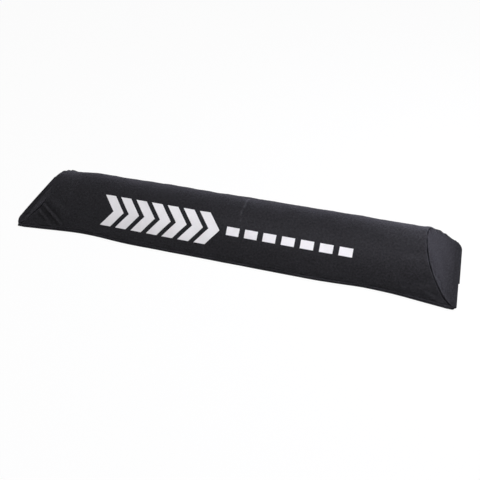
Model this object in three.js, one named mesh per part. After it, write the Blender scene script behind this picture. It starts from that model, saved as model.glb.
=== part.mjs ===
// Roof rack pad: a foam bar in a sewn cloth cover, with two flaps below that close round a rack's crossbar.
// Millimetres, +Z up, +X along the pad, -Y towards its printed front.
// The origin is on the floor under the middle of the pad.

import * as THREE from 'three';
import { mergeVertices } from 'three/addons/utils/BufferGeometryUtils.js';

// Pad, measured over its cover
const PAD_LENGTH = 712; // hem to hem, along X
const PAD_WIDTH = 143.6; // half way along, if the cover ran down to the floor
const PAD_HEIGHT = 65.3; // floor to crown
const CROWN_ROUND = 26.5; // large is a broad crown, small is a ridge
const FLANK_POWER = 0.657; // 1 is a straight flank, less is a fuller one

// Slanted ends
const END_FLANGE = 11.5; // hem that lies flat beyond each end panel's foot
const END_RUN = 45.1; // how far the crown stops short of the end panel's foot
const END_HOLLOW = 0.86; // bow of the slope: large is straight, small is hollow

// Drawn shape of the cover's foot, seen from above
const EAR_FLARE = 6; // how far the front corners stand out
const BACK_TUCK = 4.5; // how far the back corners are drawn in
const EAR_LENGTH = 90; // how far along the pad both fade
const WAIST_DEPTH = 3.7; // how far the front foot is drawn in
const WAIST_FROM_END = 112; // from the end panel's foot to the middle of the waist
const WAIST_REACH = 85; // from the middle of the waist to where it fades
const FLARE_HEIGHT = 26; // height above the foot at which both have gone

// Cloth, tape and clearances
const COVER_CLOTH = 1; // main, end and base panels
const FLAP_CLOTH = 1; // two thinner layers sewn together
const TAPE_THICKNESS = 0.8; // hook tape and loop tape, each
const TAPE_WIDTH = 25;
const TAPE_END_MARGIN = 12; // flap that stays bare at each end of the tapes
const TAPE_EDGE_MARGIN = 2; // flap that stays bare beside the tapes
const GAP = 0.3; // clearance between layers that touch

// Base panel and flaps
const HEM_LIP = 2.2; // base panel that shows outside the cover's long foot
const CORNER_RADIUS = 8; // base panel's corners
const FLAP_SETBACK = 0.3; // from the base panel's long edge in to the fold of each flap
const FLAP_FOLD_RADIUS = 2; // outside of the fold
const FRONT_FLAP_END_INSET = 3; // front flap ends this far inside the base panel's ends
const BACK_FLAP_OVERHANG = 3.5; // back flap ends this far outside them
const CLOSURE_Y = -8.5; // middle of the closed tapes, a little towards the front
const FLAP_RAMP = 9; // length over which the front flap climbs onto the back flap

// Print on the front: a row of chevrons, then a row of dashes
const PRINT_FILM = 0.4;
const CHEVRON_COUNT = 7;
const CHEVRON_LEFT = -205; // X where the row starts
const CHEVRON_WIDTH = 18; // along X
const CHEVRON_SPACE = 9;
const CHEVRON_TIP = 20; // how far the point runs ahead of the tails
const CHEVRON_LOW = 25; // girth, measured from the floor up over the front
const CHEVRON_HIGH = 75;
const DASH_COUNT = 7;
const DASH_LEFT = 6;
const DASH_WIDTH = 20;
const DASH_SPACE = 9;
const DASH_LOW = 45;
const DASH_HIGH = 58;

// Fineness of the faceted surfaces
const LENGTH_STEPS = 40; // along the pad
const GIRTH_STEPS = 28; // over the pad, an even number
const ACROSS_STEPS = 6; // across an end panel
const FOLD_STEPS = 4; // round a flap's fold
const CORNER_STEPS = 6; // round a base panel corner
const CHEVRON_ROWS = 10; // an even number, so that one row meets the tip
const CHEVRON_COLUMNS = 3;
const DASH_ROWS = 3;
const DASH_COLUMNS = 2;
const GIRTH_SAMPLES = 720; // for turning a girth into an angle
const FOOT_HALVINGS = 50; // for finding the angle at the foot

// Heights of the layers, from the floor up
const hookTapeBottom = FLAP_CLOTH + GAP;
const loopTapeBottom = hookTapeBottom + TAPE_THICKNESS + GAP;
const frontFlapLift = loopTapeBottom + TAPE_THICKNESS + GAP;
const basePanelBottom = frontFlapLift + FLAP_CLOTH + GAP;
const coverFoot = basePanelBottom + COVER_CLOTH + GAP;

// The slope makes cloth that is measured along X look thicker by this factor
const footHalfLength = PAD_LENGTH / 2 - END_FLANGE;
const slopeFactor = Math.hypot(1, END_RUN / (PAD_HEIGHT - coverFoot));
const endClothAlongX = COVER_CLOTH * slopeFactor;
const endGapAlongX = GAP * slopeFactor;

const clothMaterial = new THREE.MeshStandardMaterial({ color: 0x2f2f33, roughness: 0.88, metalness: 0 });
const flapMaterial = new THREE.MeshStandardMaterial({ color: 0x2a2a2d, roughness: 0.9, metalness: 0 });
const tapeMaterial = new THREE.MeshStandardMaterial({ color: 0x1b1b1d, roughness: 0.95, metalness: 0 });
const foamMaterial = new THREE.MeshStandardMaterial({ color: 0x3b3b3e, roughness: 0.8, metalness: 0 });
const printMaterial = new THREE.MeshStandardMaterial({ color: 0xe6e3e0, roughness: 0.6, metalness: 0 });

const lerp = THREE.MathUtils.lerp;

const FRONT = -1;
const BACK = 1;

// Point of the pad's section: an angle runs from 0 on the floor in front to PI on the floor behind.
// An inset is the distance inside the cover's outer face, negative outside it.
function sectionPoint(angle, inset) {
  const halfWidth = PAD_WIDTH / 2;
  const y = -halfWidth * Math.cos(angle);
  const reach = Math.hypot(y, CROWN_ROUND);
  const fullSpread = Math.hypot(halfWidth, CROWN_ROUND) - CROWN_ROUND;
  const climb = Math.max(1e-9, 1 - (reach - CROWN_ROUND) / fullSpread);
  const z = PAD_HEIGHT * climb ** FLANK_POWER;
  const slope = (-FLANK_POWER * z * y) / (climb * reach * fullSpread);
  const lean = Math.hypot(1, slope);
  return new THREE.Vector2(y + (inset * slope) / lean, z - inset / lean);
}

// The angle at which a section with that inset reaches the cover's foot in front.
function footAngle(inset) {
  let low = 0;
  let high = Math.PI / 2;
  for (let i = 0; i < FOOT_HALVINGS; i += 1) {
    const middle = (low + high) / 2;
    if (sectionPoint(middle, inset).y < coverFoot) {
      low = middle;
    } else {
      high = middle;
    }
  }
  return high;
}

// How far the cover's foot stands out, or is drawn in, at a station along one side of the pad.
function footFlare(x, side) {
  const fromEnd = footHalfLength - Math.abs(x);
  const nearEnd = Math.max(0, 1 - fromEnd / EAR_LENGTH) ** 2;
  if (side === BACK) {
    return -BACK_TUCK * nearEnd;
  }
  const offWaist = Math.min(1, Math.abs(fromEnd - WAIST_FROM_END) / WAIST_REACH);
  return EAR_FLARE * nearEnd - WAIST_DEPTH * Math.cos((offWaist * Math.PI) / 2) ** 2;
}

// The part of that flare left at a height.
function flareShare(z) {
  return Math.max(0, 1 - Math.max(0, z - coverFoot) / FLARE_HEIGHT) ** 2;
}

// Point of the pad's long surface at a station.
function padPoint(x, angle, inset) {
  const plain = sectionPoint(angle, inset);
  const side = angle < Math.PI / 2 ? FRONT : BACK;
  const y = plain.x + side * footFlare(x, side) * flareShare(plain.y);
  return new THREE.Vector3(x, y, plain.y);
}

// Where the outer face of the slanted end is, at a height.
function endX(z) {
  const rise = (z - coverFoot) / (PAD_HEIGHT - coverFoot);
  return footHalfLength - (END_RUN * rise * (1 + END_HOLLOW)) / (rise + END_HOLLOW);
}

// Point of the long surface between the slanted ends: share runs from -1 to 1 along the pad,
// and clear is kept along X inside the outer face of each end.
function padPointByShare(share, angle, inset, clear) {
  const z = Math.max(coverFoot, sectionPoint(angle, inset).y);
  return padPoint(share * (endX(z) - clear), angle, inset);
}

// Angle of a grid row: row 0 is the foot in front, the last row the foot behind.
function rowAngle(row, inset) {
  const foot = footAngle(inset);
  return lerp(foot, Math.PI - foot, row / GIRTH_STEPS);
}

// Distance from the pad's middle to the cover's foot on one side.
const plainFootY = Math.abs(sectionPoint(footAngle(0), 0).x);

function footDistance(x, side) {
  return plainFootY + footFlare(x, side);
}

// Table of angle against girth for the section half way along.
function makeGirthTable() {
  const table = [{ girth: 0, angle: 0 }];
  let last = sectionPoint(0, 0);
  for (let i = 1; i <= GIRTH_SAMPLES; i += 1) {
    const angle = (Math.PI * i) / GIRTH_SAMPLES;
    const point = sectionPoint(angle, 0);
    table.push({ girth: table[i - 1].girth + point.distanceTo(last), angle });
    last = point;
  }
  return table;
}

const girthTable = makeGirthTable();

// The angle that lies a given girth up from the floor in front.
function angleAtGirth(girth) {
  const i = girthTable.findIndex((entry) => entry.girth >= girth);
  const low = girthTable[i - 1];
  const high = girthTable[i];
  return lerp(low.angle, high.angle, (girth - low.girth) / (high.girth - low.girth));
}

// Collects quads, each given so that it turns anticlockwise seen from outside, into one closed body.
class Skin {
  constructor() {
    this.positions = [];
  }

  triangle(a, b, c) {
    for (const point of [a, b, c]) {
      this.positions.push(point.x, point.y, point.z);
    }
  }

  quad(a, b, c, d) {
    this.triangle(a, b, c);
    this.triangle(a, c, d);
  }

  // One face on a grid: columns x rows points outside, or inside where it is turned over.
  // Its diagonals stay the same either way, so that nested faces run parallel.
  grid(columns, rows, at, turned = false) {
    for (let i = 0; i < columns; i += 1) {
      for (let j = 0; j < rows; j += 1) {
        const [a, b, c, d] = [at(i, j), at(i + 1, j), at(i + 1, j + 1), at(i, j + 1)];
        if (turned) {
          this.quad(a, d, c, b);
        } else {
          this.quad(a, b, c, d);
        }
      }
    }
  }

  geometry() {
    const raw = new THREE.BufferGeometry();
    raw.setAttribute('position', new THREE.Float32BufferAttribute(this.positions, 3));
    const merged = mergeVertices(raw, 1e-4);
    const kept = [];
    const index = merged.index;
    for (let i = 0; i < index.count; i += 3) {
      const corners = [index.getX(i), index.getX(i + 1), index.getX(i + 2)];
      if (new Set(corners).size === 3) {
        kept.push(...corners);
      }
    }
    merged.setIndex(kept);
    merged.computeVertexNormals();
    return merged;
  }
}

// A sheet with an outer and an inner face on the same grid, closed round its rim.
function sheetGeometry(columns, rows, outer, inner) {
  const skin = new Skin();
  skin.grid(columns, rows, outer);
  skin.grid(columns, rows, inner, true);
  for (let i = 0; i < columns; i += 1) {
    skin.quad(outer(i + 1, 0), outer(i, 0), inner(i, 0), inner(i + 1, 0));
    skin.quad(outer(i, rows), outer(i + 1, rows), inner(i + 1, rows), inner(i, rows));
  }
  for (let j = 0; j < rows; j += 1) {
    skin.quad(outer(0, j), outer(0, j + 1), inner(0, j + 1), inner(0, j));
    skin.quad(outer(columns, j + 1), outer(columns, j), inner(columns, j), inner(columns, j + 1));
  }
  return skin.geometry();
}

function namedMesh(name, geometry, material) {
  const mesh = new THREE.Mesh(geometry, material);
  mesh.name = name;
  return mesh;
}

// Column number to a share from -1 to 1 along the pad.
function columnShare(column) {
  return (2 * column) / LENGTH_STEPS - 1;
}

// Foam bar: fills the cover to within one clearance.
function makeFoamCore() {
  const inset = COVER_CLOTH + GAP;
  const clear = endClothAlongX + endGapAlongX;
  const at = (i, j) => padPointByShare(columnShare(i), rowAngle(j, inset), inset, clear);
  const skin = new Skin();
  skin.grid(LENGTH_STEPS, GIRTH_STEPS, at);
  for (let i = 0; i < LENGTH_STEPS; i += 1) {
    skin.quad(at(i, 0), at(i, GIRTH_STEPS), at(i + 1, GIRTH_STEPS), at(i + 1, 0));
  }
  for (let j = 0; j < GIRTH_STEPS / 2; j += 1) {
    const behind = GIRTH_STEPS - j;
    skin.quad(at(LENGTH_STEPS, j), at(LENGTH_STEPS, behind), at(LENGTH_STEPS, behind - 1), at(LENGTH_STEPS, j + 1));
    skin.quad(at(0, behind), at(0, j), at(0, j + 1), at(0, behind - 1));
  }
  return namedMesh('foam_core', skin.geometry(), foamMaterial);
}

// Main panel: one cloth from the hem in front, over the foam, to the hem behind.
function makeMainPanel() {
  const clear = endClothAlongX + endGapAlongX;
  const face = (inset) => (i, j) => padPointByShare(columnShare(i), rowAngle(j, inset), inset, clear);
  const geometry = sheetGeometry(LENGTH_STEPS, GIRTH_STEPS, face(0), face(COVER_CLOTH));
  return namedMesh('main_panel', geometry, clothMaterial);
}

// End panel: a D-shaped cloth on the slanted end, flush with the main panel's outer face.
function makeEndPanel(name, side) {
  const face = (depth) => (i, j) => {
    const front = padPointByShare(1, rowAngle(j, 0), 0, 0);
    const back = padPointByShare(1, rowAngle(GIRTH_STEPS - j, 0), 0, 0);
    const across = side === 1 ? i / ACROSS_STEPS : 1 - i / ACROSS_STEPS;
    return new THREE.Vector3(side * (front.x - depth), lerp(front.y, back.y, across), front.z);
  };
  const geometry = sheetGeometry(ACROSS_STEPS, GIRTH_STEPS / 2, face(0), face(endClothAlongX));
  return namedMesh(name, geometry, clothMaterial);
}

// Distance from the pad's middle to the base panel's long edge on one side.
function baseDistance(x, side) {
  return footDistance(x, side) + HEM_LIP;
}

const straightHalfLength = PAD_LENGTH / 2 - CORNER_RADIUS;

// Base panel: the flat cloth under the foam, with its hem showing all round.
function makeBasePanel() {
  const quarter = (side) => {
    const centre = baseDistance(straightHalfLength, side) - CORNER_RADIUS;
    const points = [];
    for (let i = 0; i <= LENGTH_STEPS / 2; i += 1) {
      const x = (straightHalfLength * i) / (LENGTH_STEPS / 2);
      points.push([x, side * baseDistance(x, side)]);
    }
    for (let i = 1; i <= CORNER_STEPS; i += 1) {
      const turn = ((Math.PI / 2) * i) / CORNER_STEPS;
      const y = centre + CORNER_RADIUS * Math.cos(turn);
      points.push([straightHalfLength + CORNER_RADIUS * Math.sin(turn), side * y]);
    }
    return points;
  };
  const [front, back] = [quarter(FRONT), quarter(BACK)];
  const outline = [
    ...back.toReversed().map(([x, y]) => new THREE.Vector2(x, y)),
    ...back.slice(1).map(([x, y]) => new THREE.Vector2(-x, y)),
    ...front.toReversed().map(([x, y]) => new THREE.Vector2(-x, y)),
    ...front.slice(1).map(([x, y]) => new THREE.Vector2(x, y)),
  ];
  const geometry = new THREE.ExtrudeGeometry(new THREE.Shape(outline), {
    depth: COVER_CLOTH,
    bevelEnabled: false,
  });
  const mesh = namedMesh('base_panel', geometry, clothMaterial);
  mesh.position.z = basePanelBottom;
  return mesh;
}

// Points round the fold of a flap, from the flat part to the upright part, for a fold at y = 0
// whose flap lies on its +Y side.
function foldPoints(radius) {
  const points = [];
  for (let i = 0; i <= FOLD_STEPS; i += 1) {
    const turn = ((Math.PI / 2) * i) / FOLD_STEPS;
    points.push([FLAP_FOLD_RADIUS - radius * Math.sin(turn), FLAP_FOLD_RADIUS - radius * Math.cos(turn)]);
  }
  return points;
}

// A flap: a profile in Y and Z, given for each station, carried along X between two ends.
function makeFlap(name, halfLength, profile) {
  const rows = profile(0, 0).length - 1;
  const face = (depth) => (i, j) => {
    const x = columnShare(i) * halfLength;
    const [y, z] = profile(x, depth)[j];
    return new THREE.Vector3(x, y, z);
  };
  return namedMesh(name, sheetGeometry(LENGTH_STEPS, rows, face(0), face(FLAP_CLOTH)), flapMaterial);
}

// Y of the fold of either flap, as a distance from the pad's middle.
function foldDistance(x, side) {
  return baseDistance(Math.min(Math.abs(x), footHalfLength), side) - FLAP_SETBACK;
}

// Front flap: hangs from the front hem, lies on the floor and climbs over the back flap's free edge.
function makeFrontFlap() {
  const freeEdge = CLOSURE_Y + TAPE_WIDTH / 2 + TAPE_EDGE_MARGIN;
  const rampTop = CLOSURE_Y - TAPE_WIDTH / 2 - 2 * TAPE_EDGE_MARGIN;
  const rampFoot = rampTop - FLAP_RAMP;
  const rampShift = Math.tan(Math.atan2(frontFlapLift, FLAP_RAMP) / 2);
  const profile = (x, depth) => {
    const fold = -foldDistance(x, FRONT);
    return [
      [freeEdge, frontFlapLift + depth],
      [rampTop - depth * rampShift, frontFlapLift + depth],
      [rampFoot - depth * rampShift, depth],
      ...foldPoints(FLAP_FOLD_RADIUS - depth).map(([y, z]) => [fold + y, z]),
      [fold + depth, basePanelBottom - GAP],
    ];
  };
  return makeFlap('front_flap', PAD_LENGTH / 2 - FRONT_FLAP_END_INSET, profile);
}

// Back flap: hangs from the back hem and lies on the floor, under the front flap's free edge.
function makeBackFlap() {
  const freeEdge = CLOSURE_Y - TAPE_WIDTH / 2 - TAPE_EDGE_MARGIN;
  const profile = (x, depth) => {
    const fold = foldDistance(x, BACK);
    return [
      [fold - depth, basePanelBottom - GAP],
      ...foldPoints(FLAP_FOLD_RADIUS - depth).reverse().map(([y, z]) => [fold - y, z]),
      [freeEdge, depth],
    ];
  };
  return makeFlap('back_flap', PAD_LENGTH / 2 + BACK_FLAP_OVERHANG, profile);
}

// Hook tape on the back flap and loop tape under the front flap.
function makeTape(name, bottom) {
  const length = PAD_LENGTH - 2 * (FRONT_FLAP_END_INSET + TAPE_END_MARGIN);
  const mesh = namedMesh(name, new THREE.BoxGeometry(length, TAPE_WIDTH, TAPE_THICKNESS), tapeMaterial);
  mesh.position.set(0, CLOSURE_Y, bottom + TAPE_THICKNESS / 2);
  return mesh;
}

// A field of print on the front: its left edge runs to X left(v) as v goes from 0 low to 1 high,
// and its right edge is the same line moved by width.
function makePrintField(name, left, width, low, high, columns, rows) {
  const face = (inset) => (i, j) => {
    const share = j / rows;
    const x = left(share) + (width * i) / columns;
    return padPoint(x, angleAtGirth(lerp(low, high, share)), inset);
  };
  const geometry = sheetGeometry(columns, rows, face(-GAP - PRINT_FILM), face(-GAP));
  return namedMesh(name, geometry, printMaterial);
}

function makeChevrons() {
  const row = [];
  for (let n = 0; n < CHEVRON_COUNT; n += 1) {
    const tail = CHEVRON_LEFT + n * (CHEVRON_WIDTH + CHEVRON_SPACE);
    const left = (share) => tail + CHEVRON_TIP * (1 - Math.abs(2 * share - 1));
    const name = `print_chevron_${n + 1}`;
    row.push(
      makePrintField(name, left, CHEVRON_WIDTH, CHEVRON_LOW, CHEVRON_HIGH, CHEVRON_COLUMNS, CHEVRON_ROWS),
    );
  }
  return row;
}

function makeDashes() {
  const row = [];
  for (let n = 0; n < DASH_COUNT; n += 1) {
    const left = DASH_LEFT + n * (DASH_WIDTH + DASH_SPACE);
    const name = `print_dash_${n + 1}`;
    row.push(makePrintField(name, () => left, DASH_WIDTH, DASH_LOW, DASH_HIGH, DASH_COLUMNS, DASH_ROWS));
  }
  return row;
}

// The front corners reach further out than the back edge, and the origin is midway between them.
const frontReach = baseDistance(straightHalfLength, FRONT);
const backReach = baseDistance(0, BACK);

const pad = new THREE.Group();
pad.position.y = (frontReach - backReach) / 2;
pad.add(
  makeFoamCore(),
  makeMainPanel(),
  makeEndPanel('end_panel_left', -1),
  makeEndPanel('end_panel_right', 1),
  makeBasePanel(),
  makeFrontFlap(),
  makeBackFlap(),
  makeTape('hook_tape', hookTapeBottom),
  makeTape('loop_tape', loopTapeBottom),
  ...makeChevrons(),
  ...makeDashes(),
);

export default pad;
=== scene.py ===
"""Looks of the roof rack pad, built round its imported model.

Metres, +Z up, +X along the pad, -Y towards the printed front.
"""

import math

import bmesh
import bpy
import numpy as np
from mathutils import Matrix, Vector


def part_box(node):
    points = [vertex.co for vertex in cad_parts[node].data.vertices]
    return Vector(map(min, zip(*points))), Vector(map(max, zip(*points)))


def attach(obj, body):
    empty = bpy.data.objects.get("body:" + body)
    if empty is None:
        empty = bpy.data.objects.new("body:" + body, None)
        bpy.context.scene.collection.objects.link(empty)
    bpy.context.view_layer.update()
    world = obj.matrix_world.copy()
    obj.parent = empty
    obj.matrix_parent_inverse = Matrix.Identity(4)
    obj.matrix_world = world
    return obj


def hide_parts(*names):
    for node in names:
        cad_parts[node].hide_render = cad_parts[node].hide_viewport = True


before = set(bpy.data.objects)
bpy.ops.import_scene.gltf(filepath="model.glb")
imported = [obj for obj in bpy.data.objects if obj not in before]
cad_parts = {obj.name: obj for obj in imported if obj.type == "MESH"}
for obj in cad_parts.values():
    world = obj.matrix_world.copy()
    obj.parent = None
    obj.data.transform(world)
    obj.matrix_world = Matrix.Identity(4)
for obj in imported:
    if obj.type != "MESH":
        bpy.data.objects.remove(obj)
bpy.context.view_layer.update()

MM = 0.001

FRONT = -1
BACK = 1
LEFT = -1
RIGHT = 1

# Form of the pad, as in the part's source
PAD_WIDTH = 143.6 * MM
CROWN_ROUND = 26.5 * MM
FLANK_POWER = 0.657
END_RUN = 45.1 * MM
END_HOLLOW = 0.86
EAR_FLARE = 6 * MM
BACK_TUCK = 4.5 * MM
EAR_LENGTH = 90 * MM
WAIST_DEPTH = 3.7 * MM
WAIST_FROM_END = 112 * MM
WAIST_REACH = 85 * MM
FLARE_HEIGHT = 26 * MM
HEM_LIP = 2.2 * MM
CORNER_RADIUS = 8 * MM
FLAP_SETBACK = 0.3 * MM
FLAP_FOLD_RADIUS = 2 * MM
FLAP_RAMP = 9 * MM
FLAP_CLOTH = 1 * MM
GAP = 0.3 * MM

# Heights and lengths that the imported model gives
main_low, main_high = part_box("main_panel")
base_low, base_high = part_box("base_panel")
FOOT_Z = main_low.z
CROWN_Z = main_high.z
BASE_TOP = base_high.z
BASE_BOTTOM = base_low.z
HALF_LENGTH = base_high.x
FOOT_HALF_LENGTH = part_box("end_panel_right")[1].x
FRONT_FLAP_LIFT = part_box("loop_tape")[1].z + GAP

# Cloth of the visual model
COVER_CLOTH = 0.8 * MM
SEAM_CLEAR = 0.9 * MM  # from the end cloth's outer face back to the main cloth's rim, along X
FOAM_INSET = 6 * MM  # keeps the foam clear of the cover's folds

# The two ends are sewn unevenly, so each has its own sizes
LEFT_HEM = 360.6 * MM
RIGHT_HEM = 354.6 * MM
BACK_FLAP_ENDS = (364.6 * MM, 356.8 * MM)  # from the middle to the left and to the right
FOOT_SPREAD = 1.6 * MM  # how far the end cloth's foot is drawn out towards the hem
FOOT_SPREAD_HEIGHT = 3 * MM
LEFT_DROOP = 6.4 * MM  # the crown sinks towards the left end
LEFT_DROOP_REACH = 44 * MM
LEFT_DROOP_FROM = 308 * MM  # from the middle to where the droop is full
FRONT_DROOP_ANGLES = (0.5, 0.8)  # radians up the section to the droop's start, and over which it grows
BACK_DROOP_ANGLES = (0.4, 0.65)

# Where an end seam stands out of the plain slant: how far, at which height, and its reach up and down
LEFT_BELLIES = [
    (4.6 * MM, 15 * MM, 14 * MM),
    (7.0 * MM, CROWN_Z - LEFT_DROOP, 10 * MM),
    (-1.5 * MM, 38 * MM, 13 * MM),
]
RIGHT_BELLIES = [(2.3 * MM, 27 * MM, 18 * MM)]

# Rounding of the base cloth's corners along X and across, each corner as it was turned
CORNERS = {
    (LEFT, FRONT): (14 * MM, 26 * MM),
    (RIGHT, FRONT): (3 * MM, 3 * MM),
    (LEFT, BACK): (14 * MM, 18 * MM),
    (RIGHT, BACK): (19 * MM, 24 * MM),
}


def eased(share):
    """A smooth step from 0 to 1."""
    held = np.clip(share, 0, 1)
    return held * held * (3 - 2 * held)


def bell(offset, reach):
    """A smooth bump: 1 where the offset is 0, nearly 0 from twice the reach."""
    return np.exp(-((offset / reach) ** 2))


def quarter_round(past):
    """How far a quarter circle has turned across: from 0 where past is 0, to 1 where it is 1."""
    return 1 - np.sqrt(1 - np.clip(past, 0, 1) ** 2)


def joined(*parts):
    """Points from arrays of their coordinates."""
    return np.stack(np.broadcast_arrays(*parts), axis=-1)


def unit(vectors):
    return vectors / np.linalg.norm(vectors, axis=-1, keepdims=True)


def run_along(path):
    """Distance along a polyline to each of its points."""
    return np.concatenate([[0], np.cumsum(np.linalg.norm(np.diff(path, axis=0), axis=1))])


def section(angle, inset=0.0):
    """Y and Z of the pad's section: the angle runs from 0 on the floor in front to pi behind."""
    half_width = PAD_WIDTH / 2
    y = -half_width * np.cos(angle)
    reach = np.hypot(y, CROWN_ROUND)
    full_spread = math.hypot(half_width, CROWN_ROUND) - CROWN_ROUND
    climb = np.maximum(1e-9, 1 - (reach - CROWN_ROUND) / full_spread)
    z = CROWN_Z * climb ** FLANK_POWER
    slope = -FLANK_POWER * z * y / (climb * reach * full_spread)
    lean = np.hypot(1, slope)
    return y + inset * slope / lean, z - inset / lean


def section_height(angle, inset=0.0):
    return section(angle, inset)[1]


def foot_angle(inset=0.0):
    rising = np.linspace(0, math.pi / 2, 20001)
    return float(np.interp(FOOT_Z, section_height(rising, inset), rising))


def foot_flare(x, side):
    """How far the cover's foot stands out, or is drawn in, at a station along one side."""
    from_end = FOOT_HALF_LENGTH - np.abs(x)
    near_end = np.clip(1 - from_end / EAR_LENGTH, 0, 1) ** 2
    off_waist = np.minimum(1, np.abs(from_end - WAIST_FROM_END) / WAIST_REACH)
    front = EAR_FLARE * near_end - WAIST_DEPTH * np.cos(off_waist * math.pi / 2) ** 2
    return np.where(np.asarray(side) < 0, front, -BACK_TUCK * near_end)


def flare_share(z):
    return np.maximum(0, 1 - np.maximum(0, z - FOOT_Z) / FLARE_HEIGHT) ** 2


def crown_droop(x, angle):
    """How far the pad sinks near the left end: most at the crown, and lower down behind than in front."""
    front = (angle - FRONT_DROOP_ANGLES[0]) / FRONT_DROOP_ANGLES[1]
    back = (math.pi - angle - BACK_DROOP_ANGLES[0]) / BACK_DROOP_ANGLES[1]
    height = eased(np.where(np.asarray(angle) < math.pi / 2, front, back))
    inside = np.maximum(0, x + LEFT_DROOP_FROM)
    return LEFT_DROOP * height * np.exp(-((inside / LEFT_DROOP_REACH) ** 3))


def pad_points(x, angle, inset=0.0):
    """Points of the pad's plain long surface."""
    y, z = section(angle, inset)
    side = np.where(np.asarray(angle) < math.pi / 2, FRONT, BACK)
    y = y + side * foot_flare(x, side) * flare_share(z)
    return joined(x, y, z - crown_droop(x, angle))


def seam_height(angle, end):
    """Height of an end seam. The whole left seam lies where the droop is full."""
    return section_height(angle) - crown_droop(end * HALF_LENGTH, angle)


def end_x(z, end):
    """Distance along X from the pad's middle to a slanted end at a height."""
    height = np.maximum(0, z - FOOT_Z)
    rise = height / (CROWN_Z - FOOT_Z)
    plain = FOOT_HALF_LENGTH - END_RUN * rise * (1 + END_HOLLOW) / (rise + END_HOLLOW)
    left = sum(out * bell(z - middle, reach) for out, middle, reach in LEFT_BELLIES)
    right = sum(out * bell(z - middle, reach) for out, middle, reach in RIGHT_BELLIES)
    belly = np.where(np.asarray(end) < 0, left, right)
    return plain + belly + FOOT_SPREAD * np.exp(-height / FOOT_SPREAD_HEIGHT)


PLAIN_FOOT_Y = abs(float(section(foot_angle())[0]))


def foot_distance(x, side):
    """Distance from the pad's middle to the cover's foot on one side."""
    return PLAIN_FOOT_Y + foot_flare(x, side)


def hem_reach(x):
    """Distance along X from the pad's middle to the base cloth's end."""
    return np.where(np.asarray(x) < 0, LEFT_HEM, RIGHT_HEM)


def base_distance(x, side):
    """Distance from the pad's middle to the base cloth's edge, with its rounded corners."""
    distance = foot_distance(x, side) + HEM_LIP
    for end in (LEFT, RIGHT):
        run, draw = CORNERS[end, side]
        distance -= draw * quarter_round((end * np.asarray(x) - hem_reach(end) + run) / run)
    return distance


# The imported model's origin is midway between its front corners and its back edge
model_corner = HALF_LENGTH - CORNER_RADIUS
model_ear = EAR_FLARE * (1 - (FOOT_HALF_LENGTH - model_corner) / EAR_LENGTH) ** 2
AXIS_Y = base_low.y + PLAIN_FOOT_Y + model_ear + HEM_LIP
FRONT_FLAP_FREE_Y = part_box("front_flap")[1].y - AXIS_Y
BACK_FLAP_FREE_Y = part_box("back_flap")[0].y - AXIS_Y
FRONT_FLAP_INSET = HALF_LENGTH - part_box("front_flap")[1].x


# Girth against angle, for the section half way along
GIRTH_SAMPLES = 2001
table_angle = np.linspace(0, math.pi, GIRTH_SAMPLES)
table_point = pad_points(0.0, table_angle)
table_girth = run_along(table_point)
table_slope = np.gradient(table_point[:, 2], table_girth)  # dz / dgirth
FOOT_GIRTH = np.interp(foot_angle(), table_angle, table_girth)
FULL_GIRTH = table_girth[-1]


def girth_at(angle):
    return np.interp(angle, table_angle, table_girth)


def angle_at(girth):
    return np.interp(girth, table_girth, table_angle)


class WaveField:
    """A smooth random field of about unit size: a sum of plane waves round one wavelength."""

    def __init__(self, seed, waves=14, spread=0.35):
        draw = np.random.default_rng(seed)
        self.heading = draw.uniform(0, 2 * math.pi, waves)
        self.phase = draw.uniform(0, 2 * math.pi, waves)
        self.scale = draw.uniform(1 - spread, 1 + spread, waves)
        self.size = math.sqrt(2 / waves)

    def at(self, u, v):
        """Value at u, v, which are lengths divided by the wavelength."""
        total = 0
        for heading, phase, scale in zip(self.heading, self.phase, self.scale):
            along = (u * math.cos(heading) + v * math.sin(heading)) * scale
            total += np.cos(2 * math.pi * along + phase)
        return total * self.size


slack_field = WaveField(11)
ripple_field = WaveField(23)
crumple_field = WaveField(29)
hem_field = WaveField(37)
seam_field = WaveField(41)
end_field = WaveField(53)
end_seam_field = WaveField(67)
flap_field = WaveField(71)

# Waves in the cover: field, depth, wavelength along X and over the girth
COVER_WAVES = [
    (slack_field, 0.35 * MM, 150 * MM, 80 * MM),
    (ripple_field, 0.2 * MM, 34 * MM, 34 * MM),
    (crumple_field, 0.06 * MM, 9 * MM, 9 * MM),
]

# The rest of the cover's relief, from how it is sewn
CROWN_LIFT = 0.7 * MM
HEM_PUCKER_DEPTH = 0.35 * MM
HEM_PUCKER_LENGTH = 17 * MM
HEM_PUCKER_REACH = 9 * MM
PUCKER_STRETCH = 0.3  # how fast puckers change away from their seam, against along it
SEAM_PUCKER_DEPTH = 0.4 * MM
SEAM_PUCKER_LENGTH = 12 * MM
SEAM_PUCKER_REACH = 10 * MM
SEAM_ROLL_DEPTH = 1.8 * MM
SEAM_ROLL_REACH = 0.8 * MM
LEFT_SEAM_SHARE = 0.4  # the left seam is flatter than the right one
SEAM_SWELL = 0.5 * MM
SEAM_SWELL_AT = 4.0 * MM
HEM_BAND_GIRTH = 9 * MM  # height of the turned hem along the foot
HEM_BAND_STEP = 0.12 * MM
HEM_BAND_SOFTNESS = 0.4 * MM
HEM_HELD_REACH = 3 * MM  # the hem itself is held flat

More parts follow.
